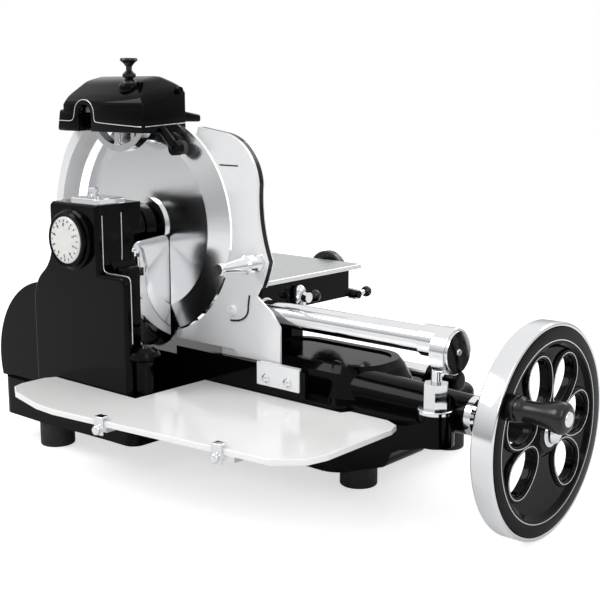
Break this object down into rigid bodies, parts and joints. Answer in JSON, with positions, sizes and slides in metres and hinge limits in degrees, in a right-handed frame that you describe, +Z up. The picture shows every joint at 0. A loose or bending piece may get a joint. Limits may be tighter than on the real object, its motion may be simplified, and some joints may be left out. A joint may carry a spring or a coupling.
{
  "type": "hand crank meat slicer",
  "caption": "Hand cranked flywheel meat slicer: round blade, gear column, sliding carriage with meat table, gauge plate, sharpener, slice tray and rubber feet.",
  "frame": {"origin": "on the floor under the middle of the machine's box", "axes": "+X along the guide tube towards the flywheel, +Y from the slice side to the meat side, +Z up"},
  "size_m": [0.886, 0.553, 0.554],
  "materials": {
    "aluminium": "anodised aluminium",
    "black_enamel": "gloss black stove enamel",
    "black_plastic": "glossy moulded handle",
    "bronze": "bearing bronze",
    "chrome": "polished chrome plate",
    "dial_face": "silver white enamel face with a scale",
    "gear_steel": "machined steel, oiled",
    "polished_steel": "ground and polished steel",
    "rubber": "moulded rubber",
    "silver_paint": "silver grey paint",
    "stone": "fine grinding stone",
    "white_enamel": "gloss white enamel"
  },
  "bodies": {
    "frame": {"base_casting": "black_enamel", "base_plate": "silver_paint", "rubber_feet": "rubber", "column_housing": "black_enamel", "gear_case_cover": "black_enamel", "column_top_plate": "chrome", "oil_cap": "chrome", "hub_ring": "black_enamel", "dial_bezel": "black_enamel", "blade_bushes": "bronze", "idler_pin": "gear_steel", "cross_bushes": "bronze", "main_bushes": "bronze", "neck_collar": "chrome", "guide_tube": "chrome", "guide_tube_head": "chrome", "pillar": "chrome", "rear_rail": "polished_steel", "slice_tray": "white_enamel", "tray_arms": "polished_steel", "tray_clips": "chrome", "gauge_plate_pins": "polished_steel", "gauge_bracket": "chrome", "gauge_bracket_screws": "chrome", "guard_ring": "chrome", "guard_ring_studs": "polished_steel", "sharpener_cover": "black_enamel", "sharpener_support": "gear_steel", "sharpener_strap": "chrome", "stone_arm": "black_enamel", "deflector_pin": "gear_steel"},
    "flywheel": {"flywheel": "black_enamel", "wheel_cap": "chrome", "main_shaft": "gear_steel", "main_bevel_gear": "gear_steel", "handle_pin": "chrome"},
    "handle": {"handle_grip": "black_plastic"},
    "cross_drive": {"cross_shaft": "gear_steel", "cross_bevel_gear": "gear_steel", "drive_gear": "gear_steel"},
    "idler": {"idler_gear": "gear_steel"},
    "blade": {"blade": "polished_steel", "blade_shaft": "polished_steel", "blade_screws": "gear_steel", "blade_pinion": "gear_steel"},
    "gauge": {"gauge_plate": "chrome"},
    "gauge_knob": {"gauge_knob": "chrome"},
    "dial": {"thickness_dial": "dial_face"},
    "carriage": {"carriage_body": "black_enamel", "carriage_sleeve": "bronze", "table_lock_post": "chrome"},
    "table": {"table_plate": "aluminium", "table_runner": "aluminium"},
    "feed": {"feed_screw": "gear_steel", "feed_knob": "black_plastic"},
    "lock_lever": {"table_lock_lever": "chrome"},
    "feed_lever": {"feed_lever": "chrome"},
    "sharpener_knob": {"sharpener_knob": "black_plastic"},
    "stone": {"finishing_stone": "stone"},
    "deflector": {"slice_deflector": "polished_steel"}
  },
  "joints": [
    {"name": "flywheel_turn", "type": "hinge", "parent": "frame", "child": "flywheel", "pos_m": [0.377, 0.0185, 0.132], "axis": [1, 0, 0], "continuous": true},
    {"name": "handle_spin", "type": "hinge", "parent": "flywheel", "child": "handle", "pos_m": [0.443, -0.06809, 0.18], "axis": [1, 0, 0], "continuous": true},
    {"name": "cross_drive_turn", "type": "hinge", "parent": "frame", "child": "cross_drive", "pos_m": [-0.318, -0.0415, 0.132], "axis": [0, 1, 0], "continuous": true},
    {"name": "idler_turn", "type": "hinge", "parent": "frame", "child": "idler", "pos_m": [-0.22688, -0.1395, 0.24156], "axis": [0, 1, 0], "continuous": true},
    {"name": "blade_turn", "type": "hinge", "parent": "frame", "child": "blade", "pos_m": [-0.217, -0.0415, 0.328], "axis": [0, 1, 0], "continuous": true},
    {"name": "dial_turn", "type": "hinge", "parent": "frame", "child": "dial", "pos_m": [-0.23, -0.1735, 0.318], "axis": [0, 1, 0], "range_deg": [0, 270]},
    {"name": "gauge_slide", "type": "slide", "parent": "frame", "child": "gauge", "axis": [0, -1, 0], "range_m": [0, 0.003]},
    {"name": "gauge_knob_turn", "type": "hinge", "parent": "gauge", "child": "gauge_knob", "pos_m": [-0.018, -0.041, 0.292], "axis": [0, 1, 0], "range_deg": [0, 180]},
    {"name": "carriage_slide", "type": "slide", "parent": "frame", "child": "carriage", "axis": [1, 0, 0], "range_m": [-0.05, 0.2]},
    {"name": "feed_turn", "type": "hinge", "parent": "table", "child": "feed", "pos_m": [-0.107, 0.1895, 0.241], "axis": [0, 1, 0], "range_deg": [0, 3600]},
    {"name": "table_slide", "type": "slide", "parent": "carriage", "child": "table", "axis": [0, 1, 0], "range_m": [0, 0.1]},
    {"name": "lock_lever_turn", "type": "hinge", "parent": "carriage", "child": "lock_lever", "pos_m": [-0.02, 0.0455, 0.236], "axis": [1, 0, 0], "range_deg": [0, 45]},
    {"name": "feed_lever_turn", "type": "hinge", "parent": "carriage", "child": "feed_lever", "pos_m": [-0.027, 0.1728, 0.221], "axis": [1, 0, 0], "range_deg": [-25, 35]},
    {"name": "sharpener_knob_turn", "type": "hinge", "parent": "frame", "child": "sharpener_knob", "pos_m": [-0.212, -0.0835, 0.521], "axis": [0, 0, 1], "range_deg": [0, 180]},
    {"name": "stone_spin", "type": "hinge", "parent": "frame", "child": "stone", "pos_m": [-0.14071, -0.0685, 0.43695], "axis": [0, 1, 0], "continuous": true},
    {"name": "deflector_swing", "type": "hinge", "parent": "frame", "child": "deflector", "pos_m": [-0.1814, -0.103, 0.272], "axis": [0, 0, 1], "range_deg": [-60, 0]}
  ],
  "couplings": [
    {"joint": "cross_drive_turn", "follows": "flywheel_turn", "ratio": 1},
    {"joint": "idler_turn", "follows": "flywheel_turn", "ratio": -1.375},
    {"joint": "blade_turn", "follows": "flywheel_turn", "ratio": 3.0556},
    {"joint": "dial_turn", "follows": "gauge_slide", "rad_per_m": 1570.8},
    {"joint": "feed_turn", "follows": "table_slide", "rad_per_m": 628.32}
  ]
}
